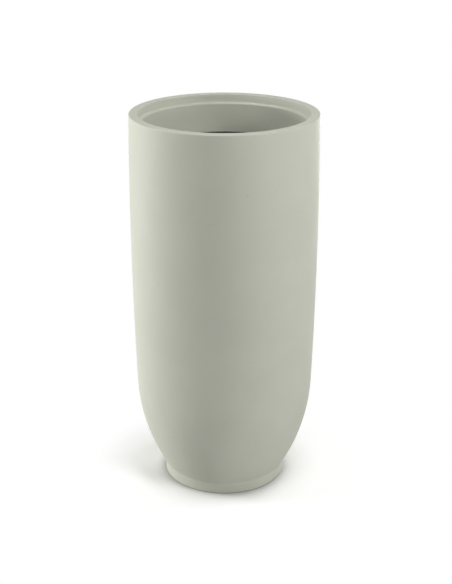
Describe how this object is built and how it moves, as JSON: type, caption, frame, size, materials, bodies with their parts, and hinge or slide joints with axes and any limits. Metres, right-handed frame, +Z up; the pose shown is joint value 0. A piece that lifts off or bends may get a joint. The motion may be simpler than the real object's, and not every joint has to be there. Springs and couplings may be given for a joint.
{
  "type": "floor planter",
  "caption": "Tall round fibreglass floor planter on a narrow foot, with a flat rebated rim and a hanging growing pot that lifts out.",
  "frame": {"origin": "on the ground, on the planter's axis, under the middle of the foot", "axes": "+Z up along the planter's axis; it looks the same from every side, and the pot's finger slots lie on +X and -X"},
  "size_m": [0.4324, 0.4322, 0.89],
  "materials": {
    "painted_laminate": "satin",
    "black_polypropylene": "satin",
    "black_rubber": "matte"
  },
  "bodies": {
    "planter": {"outer_shell": "painted_laminate", "rim_collar": "painted_laminate", "foot_pads": "black_rubber"},
    "pot": {"growing_pot": "black_polypropylene"},
    "plug": {"drain_plug": "black_rubber"}
  },
  "joints": [
    {"name": "pot_lift", "type": "slide", "parent": "planter", "child": "pot", "axis": [0, 0, 1], "range_m": [0, 0.42]},
    {"name": "plug_pull", "type": "slide", "parent": "planter", "child": "plug", "axis": [0, 0, 1], "range_m": [0, 0.45]}
  ]
}
